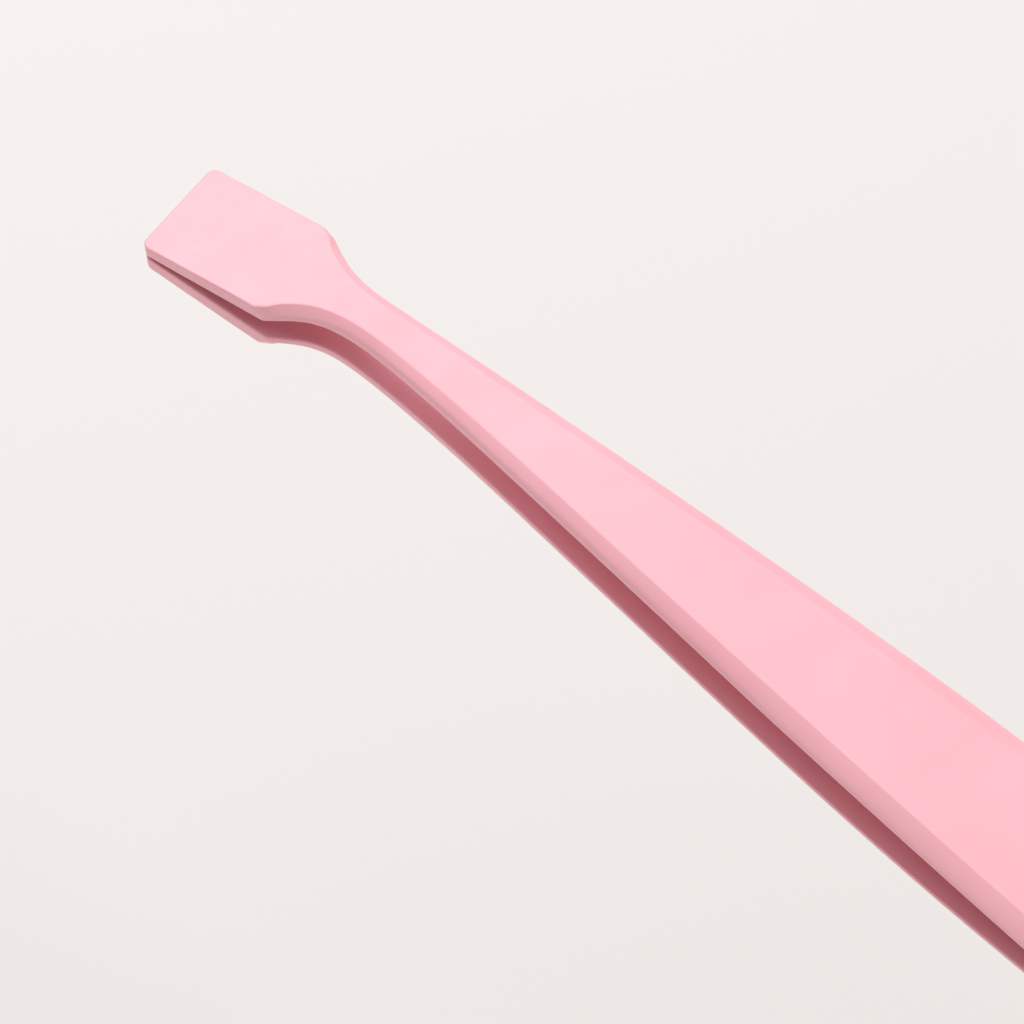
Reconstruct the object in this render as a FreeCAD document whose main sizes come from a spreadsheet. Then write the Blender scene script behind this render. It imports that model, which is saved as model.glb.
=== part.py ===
"""Squeeze tweezers with a broad paddle head: two bent steel strips, spot welded together at the tail.

Millimetres, +Z up. Each strip is drawn with X running from the tips to the tail, its centreline at Y = 0
and the plane where the two strips meet at Z = 0. Its Placement then puts the origin in the middle of the
lower strip's flat grip face, which the tweezers rest on. The tips are shut, as when squeezed.
"""
import FreeCAD, Part
import os
from math import atan2, pi
import Sketcher
from FreeCAD import Vector

SIZES = {
    "strip_thick": 1.2,
    "tip_thick": 1.0,
    "thin_end": 7.5,
    "overall_len": 110.0,
    "blank_width": 14.0,
    # paddle head, turned towards -Y in the plane of the strip, about a point on the centreline
    "head_turn": -7.5,
    "head_pivot": 17.8,
    "head_len": 9.75,
    "head_half": 3.64,
    "tip_corner": 0.6,
    # neck: how far each side's curve first runs back and inwards, and where it joins the straight side
    "turned_back": 3.07,
    "turned_inward": 2.39,
    "turned_neck_end": 30.2,
    "away_back": 5.7,
    "away_inward": 2.42,
    "away_neck_end": 45.0,
    "neck_root": 12.5,
    # body outline: half width at one place, its growth per length, then two arcs
    "ref_at": 17.0,
    "ref_half": 1.715,
    "body_taper": 0.0703,
    "taper_end": 49.0,
    "widest_at": 86.7,
    "tail_half": 4.3,
    "tail_corner": 3.0,
    # side view of the strip, as rise per length: it thins from thin_end down to the tip
    "tip_back": 0.4,
    "tip_gap": 0.02,
    "head_slope": 0.0848,
    "bend_start": 15.2,
    "bend_end": 17.9,
    "body_slope": 0.0109,
    "crown_start": 41.0,
    "grip_start": 47.0,
    "grip_end": 57.0,
    "sway": 82.0,
    "tail_start": 103.5,
    # rounding along the outer rim, and the spot welds
    "rim_round": 0.9,
    "weld_radius": 1.1,
    "weld_half_depth": 0.3,
    "weld_first": 105.2,
    "weld_second": 108.0,
}
BLANK_MARGIN = 3.0    # how far the uncut strip runs on past the tips and the tail
UPPER, LOWER = 1, -1  # which way a strip bows from the plane where the two meet
TURNED, AWAY = -1, 1  # the side of the centreline that the head is turned to, and the other


def cell(name):
    return f"Sizes.{name}"


def slope_angle():
    return f"atan({cell('body_taper')})"


# ---- places in the plan view, as expressions on the sheet ----

def head_point(along, across):
    """A point of the paddle, given along its own axis from the tip and across it."""
    back = f"({cell('head_pivot')} - ({along}))"
    turn = f"({cell('head_turn')} * 1deg)"
    x = f"{cell('head_pivot')} - {back} * cos{turn} + ({across}) * sin{turn}"
    y = f"{back} * sin{turn} + ({across}) * cos{turn}"
    return x, y


def tip_corner(side):
    return head_point("0", f"{side} * {cell('head_half')}")


def shoulder(side):
    return head_point(cell("head_len"), f"{side} * {cell('head_half')}")


def body_side(at, side):
    """A point on the body's straight side."""
    return at, f"{side} * ({cell('ref_half')} + {cell('body_taper')} * ({at} - {cell('ref_at')}))"


def arc_centre_y(side):
    """Centre of the arc that carries the straight side on to the widest place."""
    run = f"({cell('widest_at')} - {cell('taper_end')})"
    return f"{body_side(cell('taper_end'), side)[1]} - {side} * {run} / {cell('body_taper')}"


def arc_radius():
    return f"({cell('widest_at')} - {cell('taper_end')}) / sin({slope_angle()})"


# ---- heights in the side view, as expressions on the sheet ----

def side_heights():
    """(X, height of the inner face) where the strip's side view changes its course or its thickness."""
    c = cell
    at_margin = f"({c('tip_gap')} - {c('head_slope')} * ({BLANK_MARGIN} - {c('tip_back')}))"
    at_thin_end = f"({c('tip_gap')} + {c('head_slope')} * ({c('thin_end')} + {c('tip_back')}))"
    slack = f"({c('bend_start')} + {c('tip_back')})"
    at_bend = f"({c('tip_gap')} + {c('head_slope')} * {slack})"
    past_bend = (f"({at_bend} + ({c('head_slope')} + {c('body_slope')}) / 2"
                 f" * ({c('bend_end')} - {c('bend_start')}))")
    at_crown = f"({past_bend} + {c('body_slope')} * ({c('crown_start')} - {c('bend_end')}))"
    at_grip = f"({at_crown} + {c('body_slope')} / 2 * ({c('grip_start')} - {c('crown_start')}))"
    tail_run = f"({c('tail_start')} - {c('grip_end')})"
    at_sway = f"({at_grip} * (1 - ({c('sway')} - {c('grip_end')}) / {tail_run}))"
    return [
        (f"-{BLANK_MARGIN}", at_margin),
        (c("thin_end"), at_thin_end),
        (c("bend_start"), at_bend),
        (c("bend_end"), past_bend),
        (c("crown_start"), at_crown),
        (c("grip_start"), at_grip),
        (c("grip_end"), at_grip),
        (c("sway"), at_sway),
        (c("tail_start"), "0"),
    ]


def grip_height():
    """Height of the inner face at the flat grip."""
    return next(height for x, height in side_heights() if x == cell("grip_start"))


def side_radii():
    """Radius of each arc, by the number of the stretch it fills: slope change over length is 1 / radius."""
    c = cell
    grip = grip_height()
    steepest = f"(2 * {grip} / ({c('tail_start')} - {c('grip_end')}))"
    return {
        2: (f"({c('bend_end')} - {c('bend_start')}) / ({c('head_slope')} - {c('body_slope')})", UPPER),
        4: (f"({c('grip_start')} - {c('crown_start')}) / {c('body_slope')}", UPPER),
        6: (f"({c('sway')} - {c('grip_end')}) / {steepest}", UPPER),
        7: (f"({c('tail_start')} - {c('sway')}) / {steepest}", LOWER),
    }


# ---- document helpers ----

def make_sheet(doc):
    sheet = doc.addObject("Spreadsheet::Sheet", "Sizes")
    for row, (name, value) in enumerate(SIZES.items(), start=1):
        sheet.set(f"A{row}", name)
        sheet.set(f"B{row}", str(value))
        sheet.setAlias(f"B{row}", name)
    doc.recompute()
    return sheet


def number(sheet, expression):
    result = sheet.evalExpression(expression)
    return float(getattr(result, "Value", result))


def at_point(sheet, place):
    return Vector(number(sheet, place[0]), number(sheet, place[1]), 0)


def new_sketch(body, name, plane_role):
    sketch = body.newObject("Sketcher::SketchObject", name)
    plane = next(item for item in body.Origin.OriginFeatures if item.Role == plane_role)
    sketch.AttachmentSupport = [(plane, "")]
    sketch.MapMode = "FlatFace"
    return sketch


def pin_distance(sketch, kind, geometry, point, expression, value):
    """Hold one coordinate of a point to an expression, whichever side of the origin it lies."""
    if value < 0:
        index = sketch.addConstraint(Sketcher.Constraint(kind, geometry, point, -1, 1, -value))
        expression = f"-({expression})"
    else:
        index = sketch.addConstraint(Sketcher.Constraint(kind, -1, 1, geometry, point, value))
    sketch.setExpression(f"Constraints[{index}]", expression)


def pin(sheet, sketch, geometry, point, place):
    spot = at_point(sheet, place)
    pin_distance(sketch, "DistanceX", geometry, point, place[0], spot.x)
    pin_distance(sketch, "DistanceY", geometry, point, place[1], spot.y)


def add_line(sheet, sketch, start, end):
    segment = Part.LineSegment(at_point(sheet, start), at_point(sheet, end))
    line = sketch.addGeometry(segment, False)
    pin(sheet, sketch, line, 1, start)
    pin(sheet, sketch, line, 2, end)


def add_spline(sheet, sketch, poles):
    """A cubic curve whose four poles are held to the sheet."""
    spots = [at_point(sheet, pole) for pole in poles]
    curve = sketch.addGeometry(Part.BSplineCurve(spots, None, None, False, 3, None, False), False)
    sketch.exposeInternalGeometry(curve)
    for step, pole in enumerate(poles, start=1):
        pin(sheet, sketch, curve + step, 3, pole)


def add_arc(sheet, sketch, start, end, radius, bow):
    """An arc between two pinned ends. bow is +1 where it lies to the left of the way from start to end."""
    first, last = at_point(sheet, start), at_point(sheet, end)
    chord = last - first
    size = number(sheet, radius)
    left = Vector(-chord.y, chord.x, 0).normalize()
    centre = (first + last) * 0.5 - left * bow * (size ** 2 - (chord.Length / 2) ** 2) ** 0.5
    turn_start, turn_end = (last, first) if bow > 0 else (first, last)
    angles = [atan2(spot.y - centre.y, spot.x - centre.x) for spot in (turn_start, turn_end)]
    if angles[1] < angles[0]:
        angles[1] += 2 * pi
    circle = Part.Circle(centre, Vector(0, 0, 1), size)
    arc = sketch.addGeometry(Part.ArcOfCircle(circle, *angles), False)
    pin(sheet, sketch, arc, 2 if bow > 0 else 1, start)
    pin(sheet, sketch, arc, 1 if bow > 0 else 2, end)
    index = sketch.addConstraint(Sketcher.Constraint("Radius", arc, size))
    sketch.setExpression(f"Constraints[{index}]", radius)


# ---- the blanked outline ----

def draw_rectangle(sheet, sketch, low, high):
    corners = [(low[0], low[1]), (high[0], low[1]), (high[0], high[1]), (low[0], high[1])]
    for start, end in zip(corners, corners[1:] + corners[:1]):
        add_line(sheet, sketch, start, end)


def draw_outline_side(sheet, sketch, side):
    """One long side of the strip, from the tip's corner to the tail's end."""
    label = "turned" if side == TURNED else "away"
    corner, join = tip_corner(side), shoulder(side)
    leave = (f"{join[0]} + {cell(label + '_back')}", f"{join[1]} - {side} * {cell(label + '_inward')}")
    root = body_side(cell("neck_root"), side)
    merge = body_side(cell(label + "_neck_end"), side)
    flare_end = body_side(cell("taper_end"), side)
    widest_y = f"{arc_centre_y(side)} + {side} * {arc_radius()}"
    widest = (cell("widest_at"), widest_y)
    tail = (cell("overall_len"), f"{side} * {cell('tail_half')}")
    drop = f"({side} * ({widest_y}) - {cell('tail_half')})"
    run = f"({cell('overall_len')} - {cell('widest_at')})"
    tail_radius = f"({run} * {run} + {drop} * {drop}) / (2 * {drop})"
    add_line(sheet, sketch, corner, join)
    add_spline(sheet, sketch, [join, leave, root, merge])
    add_line(sheet, sketch, merge, flare_end)
    add_arc(sheet, sketch, flare_end, widest, arc_radius(), side)
    add_arc(sheet, sketch, widest, tail, tail_radius, side)
    return corner, tail


def cut_outline(sheet, body, name):
    """Cut away everything outside the strip's outline."""
    sketch = new_sketch(body, name + "_outline", "XY_Plane")
    tip_a, tail_a = draw_outline_side(sheet, sketch, TURNED)
    tip_b, tail_b = draw_outline_side(sheet, sketch, AWAY)
    add_line(sheet, sketch, tip_a, tip_b)
    add_line(sheet, sketch, tail_a, tail_b)
    reach = 2 * BLANK_MARGIN
    half = f"({cell('blank_width')} / 2 + {reach})"
    draw_rectangle(sheet, sketch, (f"-{reach}", f"-{half}"), (f"{cell('overall_len')} + {reach}", half))
    pocket = body.newObject("PartDesign::Pocket", name + "_blanking")
    pocket.Profile = sketch
    pocket.Type = "ThroughAll"
    pocket.Midplane = True
    return pocket


# ---- the strips ----

def pad_side_view(sheet, body, name, draw):
    """Pad a side view, drawn on the XZ plane, to the width of the uncut strip."""
    sketch = new_sketch(body, name + "_side", "XZ_Plane")
    draw(sketch)
    pad = body.newObject("PartDesign::Pad", name + "_strip")
    pad.Profile = sketch
    pad.Midplane = True
    pad.setExpression("Length", cell("blank_width"))
    return pad


def draw_bent_strip(sheet, sketch, side):
    """The bent strip's side view: its inner face, and its outer face one thickness away."""
    stations, radii = side_heights(), side_radii()
    inner = [(x, f"{side} * {height}") for x, height in stations]
    outer = [(x, f"{side} * ({height} + {cell('strip_thick')})") for x, height in stations]
    growth = f"({cell('strip_thick')} - {cell('tip_thick')}) / {cell('thin_end')}"
    thinnest = f"({cell('tip_thick')} - {growth} * {BLANK_MARGIN})"
    outer[0] = (stations[0][0], f"{side} * ({stations[0][1]} + {thinnest})")
    for path in (inner, outer):
        for index, (start, end) in enumerate(zip(path, path[1:])):
            if index in radii:
                radius, bow = radii[index]
                add_arc(sheet, sketch, start, end, radius, side * bow)
            else:
                add_line(sheet, sketch, start, end)
    add_line(sheet, sketch, inner[0], outer[0])
    add_line(sheet, sketch, inner[-1], outer[-1])


def draw_flat_strip(sheet, sketch, side):
    """The tail's side view: flat, from the spring's root to past the end."""
    low = (cell("tail_start"), "0")
    high = (f"{cell('overall_len')} + {BLANK_MARGIN}", f"{side} * {cell('strip_thick')}")
    draw_rectangle(sheet, sketch, low, high)


# ---- rounding ----

def ends(edge):
    return edge.Vertexes[0].Point, edge.Vertexes[-1].Point


def upright_edges(shape, from_x, to_x):
    """Edges across the strip's thickness, between two places along it."""
    names = []
    for index, edge in enumerate(shape.Edges, start=1):
        a, b = ends(edge)
        upright = abs(a.x - b.x) < 1e-4 and abs(a.y - b.y) < 1e-4
        if upright and from_x < a.x < to_x:
            names.append(f"Edge{index}")
    return names


def rim_edges(shape, side, from_x, skip_x=None):
    """Edges round the outer face, behind from_x, apart from those that lie across the strip at skip_x."""
    names = []
    step = 0.3
    for index, edge in enumerate(shape.Edges, start=1):
        a, b = ends(edge)
        middle = edge.valueAt((edge.FirstParameter + edge.LastParameter) / 2)
        inwards = Vector(0 if abs(middle.y) > step else -step, -step if middle.y > 0 else step, 0)
        above = shape.isInside(middle + inwards + Vector(0, 0, step * side), 1e-4, True)
        below = shape.isInside(middle + inwards - Vector(0, 0, step * side), 1e-4, True)
        across = abs(a.x - b.x) < 1e-3
        at_cut = skip_x is not None and abs(a.x - skip_x) < 1e-3
        is_end = across and not at_cut and not is_joint_line(shape, edge)
        if below and not above and min(a.x, b.x) > from_x and (not across or is_end):
            names.append(f"Edge{index}")
    return names


def is_joint_line(shape, edge):
    """Whether an edge only joins two stretches of the outer face, which meet without a corner."""
    faces = [face for face in shape.Faces if any(edge.isSame(other) for other in face.Edges)]
    normals = []
    for face in faces:
        u, v = face.Surface.parameter(edge.CenterOfMass)
        normals.append(face.normalAt(u, v))
    return len(normals) == 2 and abs(normals[0].dot(normals[1])) > 0.99


def round_edges(body, name, edges, size):
    base = body.Tip
    fillet = body.newObject("PartDesign::Fillet", name)
    fillet.Base = (base, edges)
    fillet.setExpression("Radius", size)
    body.Document.recompute()
    if fillet.Shape.Volume >= base.Shape.Volume:
        raise RuntimeError(f"{name} took nothing off")


# ---- the pieces ----

def settle(sheet, item):
    """Move a piece from the strips' own frame so that the origin is the middle of the lower grip face."""
    item.setExpression("Placement.Base.x", f"-({cell('grip_start')} + {cell('grip_end')}) / 2")
    item.setExpression("Placement.Base.z", f"{grip_height()} + {cell('strip_thick')}")


def new_body(doc, name):
    body = doc.addObject("PartDesign::Body", name)
    body.Label = name
    return body


def make_arm(doc, sheet, name, side):
    """The moving length of one strip: paddle, neck and body, up to where the weld holds it."""
    body = new_body(doc, name)
    pad_side_view(sheet, body, name, lambda sketch: draw_bent_strip(sheet, sketch, side))
    cut_outline(sheet, body, name)
    doc.recompute()
    shape = body.Tip.Shape
    shoulder_x = min(at_point(sheet, shoulder(way)).x for way in (TURNED, AWAY))
    rim = rim_edges(shape, side, shoulder_x - 0.1, number(sheet, cell("tail_start")))
    round_edges(body, name + "_rim", rim, cell("rim_round"))
    corners = upright_edges(body.Tip.Shape, -BLANK_MARGIN, BLANK_MARGIN)
    round_edges(body, name + "_tip_corners", corners, cell("tip_corner"))
    settle(sheet, body)
    return body


def make_tail(doc, sheet, name, side):
    """The welded end of the same strip, with a seat for each weld in its inner face."""
    body = new_body(doc, name)
    pad_side_view(sheet, body, name, lambda sketch: draw_flat_strip(sheet, sketch, side))
    cut_outline(sheet, body, name)
    seats = new_sketch(body, name + "_weld_seats", "XY_Plane")
    radius = number(sheet, cell("weld_radius"))
    for spot in ("weld_first", "weld_second"):
        circle = Part.Circle(at_point(sheet, (cell(spot), "0")), Vector(0, 0, 1), radius)
        seat = seats.addGeometry(circle, False)
        pin(sheet, seats, seat, 3, (cell(spot), "0"))
        index = seats.addConstraint(Sketcher.Constraint("Radius", seat, radius))
        seats.setExpression(f"Constraints[{index}]", cell("weld_radius"))
    pocket = body.newObject("PartDesign::Pocket", name + "_weld_pocket")
    pocket.Profile = seats
    pocket.Reversed = side == UPPER
    pocket.setExpression("Length", cell("weld_half_depth"))
    doc.recompute()
    end = number(sheet, cell("overall_len"))
    round_edges(body, name + "_corners", upright_edges(body.Tip.Shape, end - 0.1, end + 0.1), cell("tail_corner"))
    cut = number(sheet, cell("tail_start"))
    round_edges(body, name + "_rim", rim_edges(body.Tip.Shape, side, cut - 1, cut), cell("rim_round"))
    settle(sheet, body)
    return body


def make_welds(doc, sheet):
    """The two fused spots that hold the tails together, half in each."""
    spots = []
    for place in ("weld_first", "weld_second"):
        spot = doc.addObject("Part::Cylinder", place)
        spot.setExpression("Radius", cell("weld_radius"))
        spot.setExpression("Height", f"2 * {cell('weld_half_depth')}")
        spot.setExpression("Placement.Base.x", cell(place))
        spot.setExpression("Placement.Base.z", f"-{cell('weld_half_depth')}")
        spots.append(spot)
    pair = doc.addObject("Part::MultiFuse", "spot_welds")
    pair.Shapes = spots
    pair.Label = "spot_welds"
    settle(sheet, pair)
    return pair


def check(doc, pieces):
    for item in doc.Objects:
        if "Invalid" in item.State or "Error" in item.State:
            raise RuntimeError(f"{item.Name} failed: {item.State}")
    for piece in pieces:
        if piece.Shape.isNull() or not piece.Shape.isValid():
            raise RuntimeError(f"{piece.Label} has no valid shape")


def main():
    doc = FreeCAD.newDocument("tweezers")
    sheet = make_sheet(doc)
    pieces = [
        make_arm(doc, sheet, "upper_arm", UPPER),
        make_arm(doc, sheet, "lower_arm", LOWER),
        make_tail(doc, sheet, "upper_tail", UPPER),
        make_tail(doc, sheet, "lower_tail", LOWER),
        make_welds(doc, sheet),
    ]
    doc.recompute()
    check(doc, pieces)
    os.makedirs("parts", exist_ok=True)
    for piece in pieces:
        piece.Shape.exportStep(f"parts/{piece.Label}.step")
        box = piece.Shape.BoundBox
        print(piece.Label, round(piece.Shape.Volume, 2), len(piece.Shape.Solids),
              [round(v, 3) for v in (box.XMin, box.XMax, box.YMin, box.YMax, box.ZMin, box.ZMax)])


main()
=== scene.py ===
"""Looks of the paddle tweezers: two coated steel strips, each one continuous surface from tip to tail.

Lengths are in millimetres until a mesh is made. A strip is drawn as in the CAD part: X runs from the tips to
the tail, Y across it, and Z = 0 is the plane where the two strips meet.
"""
import math

import bpy
import numpy as np
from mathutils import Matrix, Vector


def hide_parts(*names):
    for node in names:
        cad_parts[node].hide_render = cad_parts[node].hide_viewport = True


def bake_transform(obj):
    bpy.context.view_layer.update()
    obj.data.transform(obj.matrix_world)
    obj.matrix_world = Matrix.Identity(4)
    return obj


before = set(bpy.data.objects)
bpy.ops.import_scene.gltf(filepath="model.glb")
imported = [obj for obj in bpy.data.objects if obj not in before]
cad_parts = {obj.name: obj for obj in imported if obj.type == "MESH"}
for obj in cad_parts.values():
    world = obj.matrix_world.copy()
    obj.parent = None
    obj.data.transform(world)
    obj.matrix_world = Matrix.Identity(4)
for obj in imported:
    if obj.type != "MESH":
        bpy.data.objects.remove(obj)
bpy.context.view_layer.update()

MM = 0.001

# ---- the strip's dimensions, the same as the CAD part's ----
STRIP_THICK, TIP_THICK, THIN_END = 1.2, 1.0, 7.5
OVERALL_LEN = 110.0
HEAD_TURN = math.radians(-7.5)
HEAD_PIVOT = 17.8
HEAD_LEN = 9.75
HEAD_HALF = 3.64
TIP_CORNER = 0.6
NECK = {-1: (3.07, 2.39, 30.2), 1: (5.7, 2.42, 45.0)}  # each side: back, inward, where it joins the body
NECK_ROOT = 12.5
REF_AT, REF_HALF, BODY_TAPER = 17.0, 1.715, 0.0703
TAPER_END, WIDEST_AT = 49.0, 86.7
TAIL_HALF, TAIL_CORNER = 4.3, 3.0
TIP_BACK, TIP_GAP, HEAD_SLOPE = 0.4, 0.02, 0.0848
BEND_START, BEND_END, BODY_SLOPE = 15.2, 17.9, 0.0109
CROWN_START, GRIP_START, GRIP_END = 41.0, 47.0, 57.0
SWAY, TAIL_START = 82.0, 103.5

TURNED, AWAY = -1, 1
UPPER, LOWER = 1, -1

# ---- the coated edge: the paddle has an upright wall, and the neck and body have a wide bevel ----
SHOULDER_CORNER = 0.50
INNER_ROUND = 0.12
HEAD_ROUND = 0.10  # at the top of the paddle's wall
BEVEL_AT = (10.0, 13.0, 20.0, 30.0, 45.0, 55.0, 73.0, 95.0, 104.0, 110.0)  # places along the strip
BEVEL = (0.57, 0.62, 0.68, 0.84, 0.98, 1.16, 1.22, 1.16, 0.95, 0.75)  # how far it reaches in from the outline
KNEE_HEIGHT = (0.42, 0.66, 0.80, 0.68, 0.57, 0.50, 0.46, 0.50, 0.58, 0.68)  # where it meets the upright foot
KNEE_ROUND = 0.45  # share of the bevel that is rounded off there, for each mm that it reaches
BEVEL_START, BEVEL_RUN_IN = 0.25, 1.1  # reach at the shoulder, and the length over which it widens from there
FOOT_HEIGHT = 0.18  # where the upright foot starts, above the small round of the inner edge
FOOT_LEAST = 0.04  # the least height from there to the knee's arc
CREASE_SOFT = 0.20  # width of the crease on the outer face
CREASE_TIGHTER = 0.09  # how much narrower it is where the bevel is widest
CREASE_BELOW = 0.2  # how much of its width the crease also takes from the bevel

# ---- how finely the mesh is divided ----
EDGE_RINGS = 10  # from the foot to the start of the crease
ROUND_RINGS = 5
CREASE_STEPS = (0.25, 0.5, 0.75, 1.0)
SUPPORT = (0.04, 0.12)  # rings on a flat face, beside its rounded edge
ACROSS = 16  # cells across a strip's flat faces
CORNER_POINTS, TAIL_CORNER_POINTS = 8, 16
FLANK_POINTS, BODY_POINTS = 30, 190
NECK_SAMPLES, NECK_FIRST = 400, 12  # samples of the neck's curve, and the one that shows its first direction

# ---- floor, lights and camera ----
FLOOR_DROP = 80.0  # the tweezers are held above the surface, and the arms open downwards too
FLOOR_HALF = 5.0  # in metres, like the lights and the camera
SKY_STRENGTH = 0.10
LIGHTS = (  # name, kind, place, strength, and the angle in degrees of a sun or the size of an area
    ("overhead", "SUN", (-0.15, 0.0, 0.60), 0.92, 40),
    ("back", "SUN", (0.50, 0.40, 0.60), 1.30, 40),
    ("key", "AREA", (-0.38, 0.25, 0.42), 2.45, 0.36),
    ("low_fill", "AREA", (0.0, -0.90, 0.16), 2.25, 0.30),
)
CAMERA_LENS = 258.23
CAMERA_PLACE = (0.15933, -0.15650, 0.38440)
CAMERA_TURN = (31.654, 3.098, 44.702)  # degrees


# ---- side view ----

def arc_blend(x, start, end, height, slope_in, slope_out):
    """Height along a bend whose slope changes evenly from one value to another."""
    run = x - start
    return height + slope_in * run + (slope_out - slope_in) * run ** 2 / (2 * (end - start))


def inner_height(x):
    """Height of the inner face above the meeting plane."""
    at_bend = TIP_GAP + HEAD_SLOPE * (BEND_START + TIP_BACK)
    at_end = arc_blend(BEND_END, BEND_START, BEND_END, at_bend, HEAD_SLOPE, BODY_SLOPE)
    at_crown = at_end + BODY_SLOPE * (CROWN_START - BEND_END)
    at_grip = arc_blend(GRIP_START, CROWN_START, GRIP_START, at_crown, BODY_SLOPE, 0)
    steepest = 2 * at_grip / (TAIL_START - GRIP_END)
    at_sway = arc_blend(SWAY, GRIP_END, SWAY, at_grip, 0, -steepest)
    if x < BEND_START:
        return at_bend + HEAD_SLOPE * (x - BEND_START)
    if x < BEND_END:
        return arc_blend(x, BEND_START, BEND_END, at_bend, HEAD_SLOPE, BODY_SLOPE)
    if x < CROWN_START:
        return at_end + BODY_SLOPE * (x - BEND_END)
    if x < GRIP_START:
        return arc_blend(x, CROWN_START, GRIP_START, at_crown, BODY_SLOPE, 0)
    if x < GRIP_END:
        return at_grip
    if x < SWAY:
        return arc_blend(x, GRIP_END, SWAY, at_grip, 0, -steepest)
    if x < TAIL_START:
        return arc_blend(x, SWAY, TAIL_START, at_sway, -steepest, 0)
    return 0.0


def thickness(x):
    """The strip thins towards the tip."""
    return STRIP_THICK if x > THIN_END else TIP_THICK + (STRIP_THICK - TIP_THICK) * x / THIN_END


GRIP_HEIGHT = inner_height((GRIP_START + GRIP_END) / 2)
ORIGIN_X = (GRIP_START + GRIP_END) / 2
MEETING_Z = GRIP_HEIGHT + STRIP_THICK


def row_frame(point):
    """A point of the strips' own frame, in metres in the CAD frame."""
    return (np.array(point) + (-ORIGIN_X, 0, MEETING_Z)) * MM


# ---- plan view ----

def head_point(along, across):
    """A point of the turned paddle, by its distance from the tip edge and from the paddle's middle line."""
    back = HEAD_PIVOT - along
    cos, sin = math.cos(HEAD_TURN), math.sin(HEAD_TURN)
    return np.array([HEAD_PIVOT - back * cos + across * sin, back * sin + across * cos])


def straight_half(x):
    """Half width of the evenly tapered part of the body."""
    return REF_HALF + BODY_TAPER * (x - REF_AT)


def body_half(x):
    """Half width of the body behind the neck: straight, then two arcs that meet at the widest place."""
    if x <= TAPER_END:
        return straight_half(x)
    radius = (WIDEST_AT - TAPER_END) / math.sin(math.atan(BODY_TAPER))
    centre = straight_half(TAPER_END) - (WIDEST_AT - TAPER_END) / BODY_TAPER
    widest = centre + radius
    if x > WIDEST_AT:
        run, drop = OVERALL_LEN - WIDEST_AT, widest - TAIL_HALF
        radius = (run ** 2 + drop ** 2) / (2 * drop)
        centre = widest - radius
    return centre + math.sqrt(radius ** 2 - (x - WIDEST_AT) ** 2)


def rounded_corner(before, corner, after, radius, count):
    """Points of an arc that takes the place of a corner."""
    before, corner, after = (np.array(place, float) for place in (before, corner, after))
    back = (before - corner) / np.linalg.norm(before - corner)
    ahead = (after - corner) / np.linalg.norm(after - corner)
    half = math.acos(float(np.clip(back @ ahead, -1, 1))) / 2
    middle = (back + ahead) / np.linalg.norm(back + ahead)
    centre = corner + middle * radius / math.sin(half)
    first = corner + back * radius / math.tan(half) - centre
    last = corner + ahead * radius / math.tan(half) - centre
    turn = math.acos(float(np.clip(first @ last / radius ** 2, -1, 1)))
    shares = np.linspace(0, 1, count)[:, None]
    return centre + (np.sin((1 - shares) * turn) * first + np.sin(shares * turn) * last) / math.sin(turn)


def neck_curve(side):
    """The neck's curve on one side, from the shoulder to where it joins the body's straight side."""
    back, inward, end = NECK[side]
    shoulder = head_point(HEAD_LEN, side * HEAD_HALF)
    poles = [shoulder, shoulder + (back, -side * inward)]
    poles += [np.array([x, side * straight_half(x)]) for x in (NECK_ROOT, end)]
    t = np.linspace(0, 1, NECK_SAMPLES)[:, None]
    return sum(share * pole for share, pole in zip(
        ((1 - t) ** 3, 3 * t * (1 - t) ** 2, 3 * t ** 2 * (1 - t), t ** 3), poles))


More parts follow.
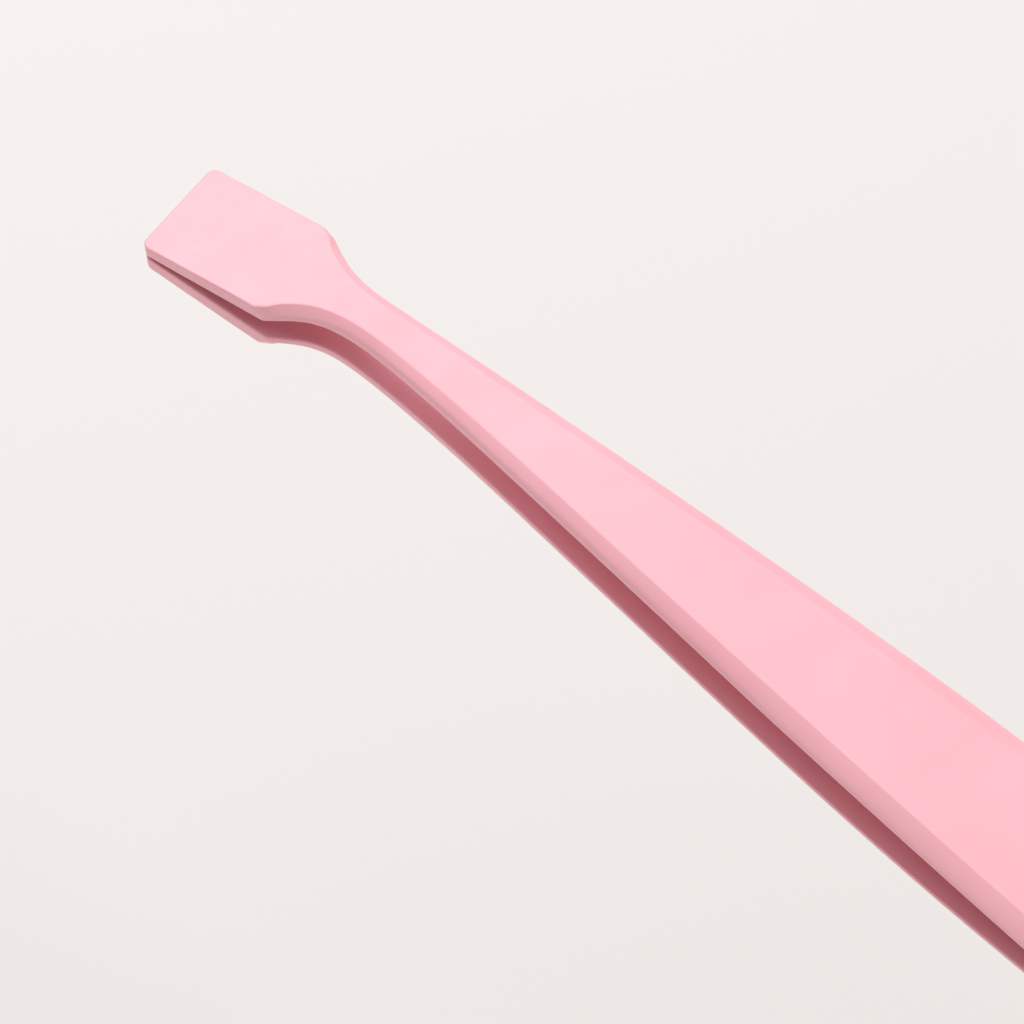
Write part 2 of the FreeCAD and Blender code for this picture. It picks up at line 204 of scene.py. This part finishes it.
def outline_side(side):
    """One long side, from the end of the tip edge to the start of the tail edge.

    Returns the outline's points, the edge's profile at each, and how far each ring is shifted there.
    """
    tip, shoulder = head_point(0, side * HEAD_HALF), head_point(HEAD_LEN, side * HEAD_HALF)
    neck = neck_curve(side)
    tip_arc = rounded_corner(head_point(0, 0), tip, shoulder, TIP_CORNER, CORNER_POINTS)
    shoulder_arc = rounded_corner(tip, shoulder, neck[NECK_FIRST], SHOULDER_CORNER, CORNER_POINTS)
    flank = np.linspace(tip_arc[-1], shoulder_arc[0], FLANK_POINTS)[1:-1]

    corner = np.array([OVERALL_LEN, side * TAIL_HALF])
    before_corner = np.array([OVERALL_LEN - TAIL_CORNER, side * body_half(OVERALL_LEN - TAIL_CORNER)])
    tail_arc = rounded_corner(before_corner, corner, (OVERALL_LEN, 0), TAIL_CORNER, TAIL_CORNER_POINTS)

    share = np.linspace(0, 1, BODY_POINTS)[1:-1]
    share = 0.3 * share + 0.7 * share ** 2  # closer together at the neck
    stations = shoulder_arc[-1][0] + (tail_arc[0][0] - shoulder_arc[-1][0]) * share
    join = NECK[side][2]
    body = [(x, float(np.interp(x, neck[:, 0], neck[:, 1])) if x < join else side * body_half(x))
            for x in stations]

    points = np.vstack([tip_arc, flank, shoulder_arc, body, tail_arc])
    before_arc = len(tip_arc) + len(flank)
    on_head = before_arc + len(shoulder_arc)
    profiles = [wall_profile()] * on_head
    for x in points[on_head:, 0]:
        past = min((x - shoulder_arc[-1][0]) / BEVEL_RUN_IN, 1)
        reach = BEVEL_START + (np.interp(x, BEVEL_AT, BEVEL) - BEVEL_START) * past * (2 - past)
        profiles.append(bevel_profile(reach, np.interp(x, BEVEL_AT, KNEE_HEIGHT)))
    profiles = np.array(profiles)

    # the bevel cuts into the paddle's wall: where it is deeper, the wall's corner lies nearer the tip
    flank_way, neck_way = shoulder - tip, neck[NECK_FIRST] - shoulder
    flank_way, neck_way = (way / np.linalg.norm(way) for way in (flank_way, neck_way))
    turn = math.acos(float(flank_way @ neck_way))
    cut = (profiles[on_head, :, 0] - profiles[0, :, 0]) / math.sin(turn)
    follow = np.zeros(len(points))
    follow[len(tip_arc):on_head] = np.linspace(0, 1, on_head - len(tip_arc))
    follow[before_arc:on_head] = 1
    drift = -follow[:, None, None] * cut[None, :, None] * flank_way
    return points, profiles, drift


def bezier(first, pull, last, t):
    """Points of a curve that leaves one end towards a third point and comes to the other end from it."""
    t = np.asarray(t, float)[:, None]
    return (1 - t) ** 2 * first + 2 * t * (1 - t) * pull + t ** 2 * last


def inner_edge():
    """(inset, height) points from the inner face round its small edge."""
    turn = np.linspace(0, math.pi / 2, ROUND_RINGS)
    rounded = INNER_ROUND * np.stack([1 - np.sin(turn), 1 - np.cos(turn)], axis=1)
    face = [(INNER_ROUND + beside, 0) for beside in SUPPORT[::-1]]
    return np.vstack([face, rounded])


def whole_profile(edge, corner, end):
    """(inset, height) points of a whole edge: inner edge, side, and a rounded corner up to the outer face."""
    top = bezier(edge[-1], corner, end, CREASE_STEPS)
    return np.vstack([inner_edge(), edge, top] + [end + (beside, 0) for beside in SUPPORT])


def wall_profile():
    """The paddle's edge: an upright wall, with rings as high as those of the bevel that it meets."""
    shoulder = bevel_profile(BEVEL_START, KNEE_HEIGHT[0])
    heights = shoulder[len(inner_edge()):][:EDGE_RINGS, 1]
    wall = np.stack([np.zeros(EDGE_RINGS), heights], axis=1)
    return whole_profile(wall, np.array([0, STRIP_THICK]), np.array([HEAD_ROUND, STRIP_THICK]))


def bevel_profile(reach, knee_height):
    """The edge behind the shoulder: a wide bevel with a soft crease above it and a rounded knee below."""
    soft = CREASE_SOFT - CREASE_TIGHTER * reach / max(BEVEL)
    knee, crease = np.array([0, knee_height]), np.array([reach, STRIP_THICK])
    rounded = KNEE_ROUND * reach
    low = np.array([0, max(knee_height - rounded * reach, FOOT_HEIGHT + FOOT_LEAST)])
    high = knee + rounded * (crease - knee)
    knee_arc = bezier(low, knee, high, np.linspace(0, 1, EDGE_RINGS - 2))
    bevel_end = crease - CREASE_BELOW * soft * (crease - knee) / reach
    return whole_profile(np.vstack([(0, FOOT_HEIGHT), knee_arc, bevel_end]), crease, crease + (soft, 0))


# ---- one strip as a mesh ----

def strip_rings():
    """The outline, counter-clockwise from the tip, as rings from the inner face round to the outer face.

    Returns the rings' (x, y) by ring and point, their heights, and the number of points on one long side.
    """
    near, near_profiles, near_drift = outline_side(TURNED)
    far, far_profiles, far_drift = outline_side(AWAY)
    count = len(near)
    inner = np.linspace(0, 1, ACROSS + 1)[1:-1, None]
    tail_edge = near[-1] + (far[-1] - near[-1]) * inner
    tip_edge = far[0] + (near[0] - far[0]) * inner
    loop = np.vstack([near, tail_edge, far[::-1], tip_edge])
    tail_profiles = np.repeat(near_profiles[-1:], ACROSS - 1, axis=0)
    tip_profiles = np.repeat(near_profiles[:1], ACROSS - 1, axis=0)
    profiles = np.concatenate([near_profiles, tail_profiles, far_profiles[::-1], tip_profiles])
    still = np.zeros((ACROSS - 1,) + near_drift.shape[1:])
    drift = np.concatenate([near_drift, still, far_drift[::-1], still])

    ahead = np.roll(loop, -1, axis=0) - loop
    ahead /= np.linalg.norm(ahead, axis=1)[:, None]
    along = ahead + np.roll(ahead, 1, axis=0)
    along /= np.linalg.norm(along, axis=1)[:, None]
    inward = np.stack([-along[:, 1], along[:, 0]], axis=1)
    rings = loop[:, None] + inward[:, None] * profiles[:, :, :1] + drift
    return rings.swapaxes(0, 1), profiles[:, :, 1].T, count


def strip_mesh(name, side):
    """The closed surface of one strip, in metres in the CAD frame."""
    rings, heights, count = strip_rings()
    total = rings.shape[1]
    verts, faces = [], []

    def add(xy, height):
        x, y = float(xy[0]), float(xy[1])
        verts.append(row_frame((x, y, side * (inner_height(x) + height * thickness(x) / STRIP_THICK))))
        return len(verts) - 1

    ring_ids = [[add(xy, height) for xy, height in zip(*ring)] for ring in zip(rings, heights)]
    for low, high in zip(ring_ids, ring_ids[1:]):
        for i in range(total):
            j = (i + 1) % total
            faces.append((low[i], low[j], high[j], high[i]))

    def cap(ring, height):
        """Fill a ring with rows that run straight across the strip, from the tip edge to the tail edge."""
        rows = [[ring[0]] + ring[total - 1:total - ACROSS:-1] + [ring[total - ACROSS]]]
        for i in range(1, count - 1):
            left, right = ring[i], ring[total - ACROSS - i]
            a, b = np.array(verts[left][:2]) / MM, np.array(verts[right][:2]) / MM
            a[0] += ORIGIN_X
            b[0] += ORIGIN_X
            middle = [add(a + (b - a) * share, height) for share in np.linspace(0, 1, ACROSS + 1)[1:-1]]
            rows.append([left] + middle + [right])
        rows.append(ring[count - 1:count + ACROSS])
        return [(row[j], after[j], after[j + 1], row[j + 1])
                for row, after in zip(rows, rows[1:]) for j in range(ACROSS)]

    faces += cap(ring_ids[-1], STRIP_THICK)
    faces += [face[::-1] for face in cap(ring_ids[0], 0)]
    if side == LOWER:
        faces = [face[::-1] for face in faces]
    mesh = bpy.data.meshes.new(name)
    mesh.from_pydata([tuple(v) for v in verts], [], faces)
    mesh.validate()
    mesh.update()
    mesh.shade_smooth()
    return mesh


def make_strip(name, side, material):
    obj = bpy.data.objects.new(name, strip_mesh(name, side))
    bpy.context.collection.objects.link(obj)
    obj.data.materials.append(material)
    return obj


# ---- materials ----

def coat_material():
    """Satin pink coat: fine grain, a faint waviness and slightly uneven colour."""
    material = bpy.data.materials.new("pink_coat")
    material.use_nodes = True
    nodes, links = material.node_tree.nodes, material.node_tree.links
    shader = nodes["Principled BSDF"]
    shader.inputs["IOR"].default_value = 1.45
    place = nodes.new("ShaderNodeTexCoord")
    in_mm = nodes.new("ShaderNodeMapping")
    in_mm.inputs["Scale"].default_value = (1 / MM,) * 3
    links.new(place.outputs["Object"], in_mm.inputs["Vector"])

    def noise(scale, detail):
        node = nodes.new("ShaderNodeTexNoise")
        node.inputs["Scale"].default_value = scale
        node.inputs["Detail"].default_value = detail
        links.new(in_mm.outputs["Vector"], node.inputs["Vector"])
        return node.outputs["Fac"]

    def spread(value, low, high):
        node = nodes.new("ShaderNodeMapRange")
        node.inputs["From Min"].default_value = 0.3
        node.inputs["From Max"].default_value = 0.7
        node.inputs["To Min"].default_value = low
        node.inputs["To Max"].default_value = high
        links.new(value, node.inputs["Value"])
        return node.outputs["Result"]

    tint = nodes.new("ShaderNodeMix")
    tint.data_type = "RGBA"
    tint.inputs["A"].default_value = (0.90, 0.425, 0.485, 1)
    tint.inputs["B"].default_value = (0.93, 0.455, 0.515, 1)
    links.new(spread(noise(0.12, 2.0), 0, 1), tint.inputs["Factor"])
    links.new(tint.outputs["Result"], shader.inputs["Base Color"])
    links.new(spread(noise(0.6, 3.0), 0.40, 0.47), shader.inputs["Roughness"])

    grain = nodes.new("ShaderNodeBump")
    grain.inputs["Strength"].default_value = 0.12
    grain.inputs["Distance"].default_value = 0.004 * MM
    links.new(noise(9.0, 4.0), grain.inputs["Height"])
    wave = nodes.new("ShaderNodeBump")
    wave.inputs["Strength"].default_value = 0.2
    wave.inputs["Distance"].default_value = 0.006 * MM
    links.new(noise(0.8, 1.0), wave.inputs["Height"])
    links.new(grain.outputs["Normal"], wave.inputs["Normal"])
    links.new(wave.outputs["Normal"], shader.inputs["Normal"])
    return material


def weld_material():
    """Bare, slightly mottled steel of a spot weld."""
    material = bpy.data.materials.new("weld_steel")
    material.use_nodes = True
    nodes, links = material.node_tree.nodes, material.node_tree.links
    shader = nodes["Principled BSDF"]
    shader.inputs["Metallic"].default_value = 1.0
    noise = nodes.new("ShaderNodeTexNoise")
    noise.inputs["Scale"].default_value = 900.0
    tint = nodes.new("ShaderNodeMix")
    tint.data_type = "RGBA"
    tint.inputs["A"].default_value = (0.42, 0.40, 0.38, 1)
    tint.inputs["B"].default_value = (0.62, 0.62, 0.64, 1)
    links.new(noise.outputs["Fac"], tint.inputs["Factor"])
    links.new(tint.outputs["Result"], shader.inputs["Base Color"])
    shader.inputs["Roughness"].default_value = 0.35
    return material


def floor_material():
    """A pale matt surface, very slightly uneven in colour."""
    material = bpy.data.materials.new("pale_floor")
    material.use_nodes = True
    nodes, links = material.node_tree.nodes, material.node_tree.links
    shader = nodes["Principled BSDF"]
    noise = nodes.new("ShaderNodeTexNoise")
    noise.inputs["Scale"].default_value = 6.0
    tint = nodes.new("ShaderNodeMix")
    tint.data_type = "RGBA"
    tint.inputs["A"].default_value = (0.745, 0.712, 0.692, 1)
    tint.inputs["B"].default_value = (0.760, 0.727, 0.707, 1)
    links.new(noise.outputs["Fac"], tint.inputs["Factor"])
    links.new(tint.outputs["Result"], shader.inputs["Base Color"])
    shader.inputs["Roughness"].default_value = 0.9
    return material


# ---- making the stage ----

def make_floor():
    mesh = bpy.data.meshes.new("floor")
    corners = [(x * FLOOR_HALF, y * FLOOR_HALF, 0) for x, y in ((-1, -1), (1, -1), (1, 1), (-1, 1))]
    mesh.from_pydata(corners, [], [(0, 1, 2, 3)])
    floor = bpy.data.objects.new("floor", mesh)
    bpy.context.collection.objects.link(floor)
    floor.location.z = -FLOOR_DROP * MM
    mesh.materials.append(floor_material())


def make_light(name, kind, place, strength, size):
    """A soft light aimed at the tweezers: a disk of a given size, or a distant light of a given angle."""
    data = bpy.data.lights.new(name, kind)
    data.energy = strength
    if kind == "SUN":
        data.angle = math.radians(size)
    else:
        data.shape = "DISK"
        data.size = size
    lamp = bpy.data.objects.new(name, data)
    lamp.location = Vector(place)
    lamp.rotation_euler = (-lamp.location).to_track_quat("-Z", "Y").to_euler()
    bpy.context.collection.objects.link(lamp)


def make_lights():
    world = bpy.data.worlds.new("studio")
    bpy.context.scene.world = world
    world.use_nodes = True
    sky = world.node_tree.nodes["Background"]
    sky.inputs["Color"].default_value = (1, 1, 1, 1)
    sky.inputs["Strength"].default_value = SKY_STRENGTH
    for light in LIGHTS:
        make_light(*light)


def make_camera():
    data = bpy.data.cameras.new("camera")
    data.lens = CAMERA_LENS
    data.clip_start, data.clip_end = 0.01, 20
    camera = bpy.data.objects.new("camera", data)
    camera.location = CAMERA_PLACE
    camera.rotation_euler = [math.radians(angle) for angle in CAMERA_TURN]
    bpy.context.collection.objects.link(camera)
    bpy.context.scene.camera = camera


def main():
    coat = coat_material()
    for name, side in (("upper", UPPER), ("lower", LOWER)):
        strip = make_strip(f"{name}_strip", side, coat)
        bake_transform(strip)
        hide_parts(f"{name}_arm", f"{name}_tail")
    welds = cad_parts["spot_welds"]
    welds.data.materials.clear()
    welds.data.materials.append(weld_material())
    make_floor()
    make_lights()
    make_camera()
    bpy.context.scene.view_settings.view_transform = "Standard"


main()
